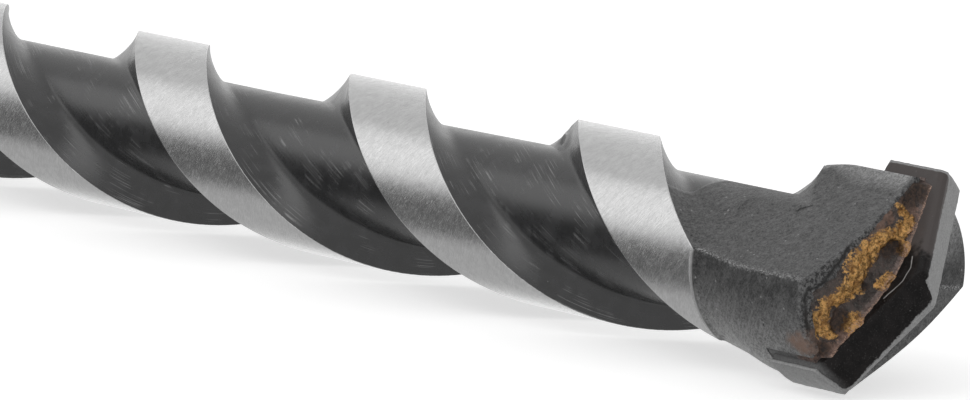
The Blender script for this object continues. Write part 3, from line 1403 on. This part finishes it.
class DRILLBIT_OT_stage(bpy.types.Operator):
    """Set the pale floor, the soft light and the camera"""
    bl_idname = "drill_bit.stage"
    bl_label = "Studio"

    # Camera, fitted to the photo
    lens_length = 294.9
    camera_place = Vector((0.40758, -0.21037, 0.05826))
    camera_back = Vector((0.78649, -0.5951, 0.16524))
    camera_right = Vector((0.60338, 0.79745, 0.0))

    floor_half = 6.0
    floor_glow = 0.55
    lamp_place = Vector((0.10, -0.55, 0.85))
    lamp_target = Vector((0.10, 0.0, 0.0))

    # Areas of the room, in the order they are laid on: direction, cosines of their edge and core, level
    areas = (
        ((-0.74, 0.66, -0.10), 0.78, 0.99, 1.05),
        ((-0.786, -0.44, 0.432), 0.950, 0.980, 1.10),
        ((-0.68, -0.30, -0.67), 0.72, 0.95, 0.46),
        ((-0.786, -0.583, -0.20), 0.93, 0.980, 0.12),
    )

    def execute(self, context):
        scene = context.scene
        stage = scene.drill_bit_stage
        scene.view_settings.view_transform = 'Standard'
        self.camera(scene)
        self.floor(stage)
        self.surroundings(scene, stage)
        self.lamp(stage)
        return {'FINISHED'}

    def camera(self, scene):
        """Long lens, level, looking at the point and the lands obliquely."""
        lens = bpy.data.cameras.new("camera")
        lens.lens = self.lens_length
        lens.sensor_width = 36.0
        lens.clip_end = 50.0
        camera = link_object("camera", lens)
        back = self.camera_back.normalized()
        right = self.camera_right.normalized()
        turned = Matrix((right, back.cross(right), back)).transposed().to_4x4()
        camera.matrix_world = Matrix.Translation(self.camera_place) @ turned
        scene.camera = camera

    def floor(self, stage):
        """Pale floor under the bit: near white to the camera, and not seen in the steel."""
        bm = bmesh.new()
        bmesh.ops.create_grid(bm, x_segments=1, y_segments=1, size=self.floor_half)
        bmesh.ops.translate(bm, verts=bm.verts, vec=Vector((0.08, 0.0, CAD_BOX[0][2])))
        mesh = to_mesh("floor", bm)
        floor = link_object("floor", mesh)
        material = bpy.data.materials.new("pale_floor")
        material.use_nodes = True
        g = Graph(material.node_tree)
        shader = material.node_tree.nodes["Principled BSDF"]
        seen = g.add('ShaderNodeLightPath').outputs['Is Camera Ray']
        g.feed(shader, {"Base Color": (*stage.floor, 1.0), "Roughness": 0.9,
                        "Emission Color": (1.0, 1.0, 1.0, 1.0),
                        "Emission Strength": g.times(seen, self.floor_glow)})
        mesh.materials.append(material)
        floor.visible_glossy = False

    def surroundings(self, scene, stage):
        """Room for the steel to mirror, with two brighter and two darker areas; white to the camera."""
        world = bpy.data.worlds.new("studio")
        world.use_nodes = True
        scene.world = world
        g = Graph(world.node_tree)
        way = g.add('ShaderNodeTexCoord').outputs['Generated']
        level = stage.room
        for direction, edge, core, strength in self.areas:
            nearness = g.vectors('DOT_PRODUCT', way, Vector(direction).normalized())['Value']
            level = g.mixf(g.remap(nearness, edge, core), level, strength)
        camera_ray = g.add('ShaderNodeLightPath').outputs['Is Camera Ray']
        level = g.mixf(camera_ray, level, 1.0)
        g.feed(world.node_tree.nodes["Background"], {"Color": (1.0, 1.0, 1.0, 1.0), "Strength": level})

    def lamp(self, stage):
        """Large soft lamp above and in front."""
        light = bpy.data.lights.new("soft_lamp", 'AREA')
        light.shape = 'RECTANGLE'
        light.size = 0.6
        light.size_y = 0.5
        light.energy = stage.lamp_power
        lamp = link_object("soft_lamp", light)
        turned = (self.lamp_place - self.lamp_target).to_track_quat('Z', 'Y').to_matrix().to_4x4()
        lamp.matrix_world = Matrix.Translation(self.lamp_place) @ turned


class DRILLBIT_PT_panel(bpy.types.Panel):
    """Sizes and colours, and a button for each piece"""
    bl_idname = "DRILLBIT_PT_panel"
    bl_label = "Masonry drill bit"
    bl_space_type = 'VIEW_3D'
    bl_region_type = 'UI'
    bl_category = "Drill bit"

    def draw(self, context):
        layout = self.layout
        for operator, settings in PARTS:
            box = layout.box()
            box.operator(operator.bl_idname)
            group = getattr(context.scene, settings)
            for key in type(group).__annotations__:
                box.prop(group, key)


SETTINGS = (
    ("drill_bit_steel", SteelSettings),
    ("drill_bit_plate", PlateSettings),
    ("drill_bit_braze", BrazeSettings),
    ("drill_bit_stage", StageSettings),
)
PARTS = (
    (DRILLBIT_OT_steel_body, "drill_bit_steel"),
    (DRILLBIT_OT_carbide_plate, "drill_bit_plate"),
    (DRILLBIT_OT_braze, "drill_bit_braze"),
    (DRILLBIT_OT_stage, "drill_bit_stage"),
)


def register():
    for name, group in SETTINGS:
        bpy.utils.register_class(group)
        setattr(bpy.types.Scene, name, PointerProperty(type=group))
    for operator, _ in PARTS:
        bpy.utils.register_class(operator)
    bpy.utils.register_class(DRILLBIT_PT_panel)


def unregister():
    bpy.utils.unregister_class(DRILLBIT_PT_panel)
    for operator, _ in reversed(PARTS):
        bpy.utils.unregister_class(operator)
    for name, group in reversed(SETTINGS):
        delattr(bpy.types.Scene, name)
        bpy.utils.unregister_class(group)


def main():
    """Register the add-on, build every piece and the stage, and note the sizes."""
    register()
    bpy.ops.drill_bit.steel_body()
    bpy.ops.drill_bit.carbide_plate()
    bpy.ops.drill_bit.braze()
    bpy.ops.drill_bit.stage()


if __name__ == "__main__":
    main()
